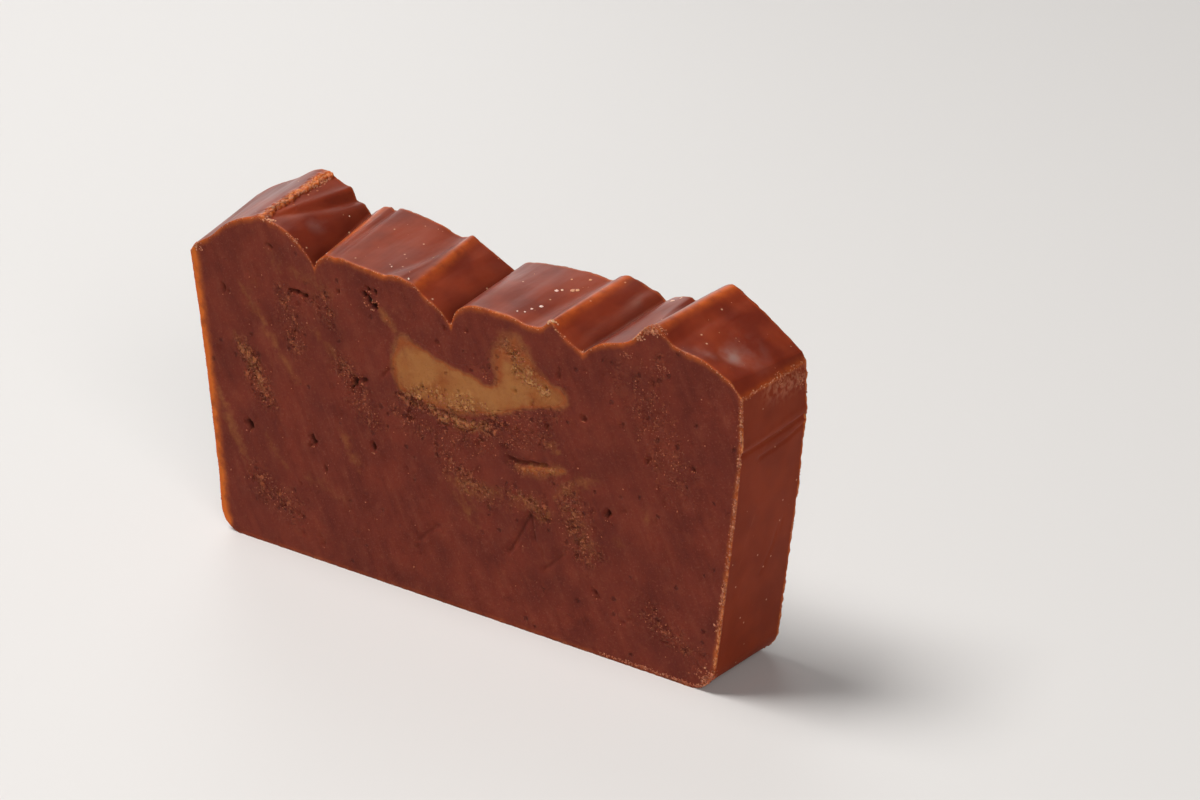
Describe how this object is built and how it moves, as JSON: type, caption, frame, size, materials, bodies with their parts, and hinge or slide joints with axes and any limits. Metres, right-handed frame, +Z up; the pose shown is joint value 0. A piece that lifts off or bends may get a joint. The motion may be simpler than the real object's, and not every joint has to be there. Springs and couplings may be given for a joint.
{
  "type": "fudge slice",
  "caption": "Upright slice of chocolate fudge cut across a moulded loaf, with overlapping folds along its top, drafted ends, torn cut faces and a peanut-butter filling running through it.",
  "frame": {"origin": "centre of the footprint box, on the surface the slice stands on", "axes": "+X along the slice, +Y through its thickness from the front cut face to the back one, +Z up"},
  "size_m": [0.1374, 0.0215, 0.0745],
  "materials": {
    "chocolate": "matte torn grain on the cut faces, satin to glossy skin on the top and ends",
    "peanut_butter": "matte, sandy"
  },
  "bodies": {
    "root": {"chocolate_fudge": "chocolate", "peanut_butter_filling": "peanut_butter"}
  },
  "joints": []
}
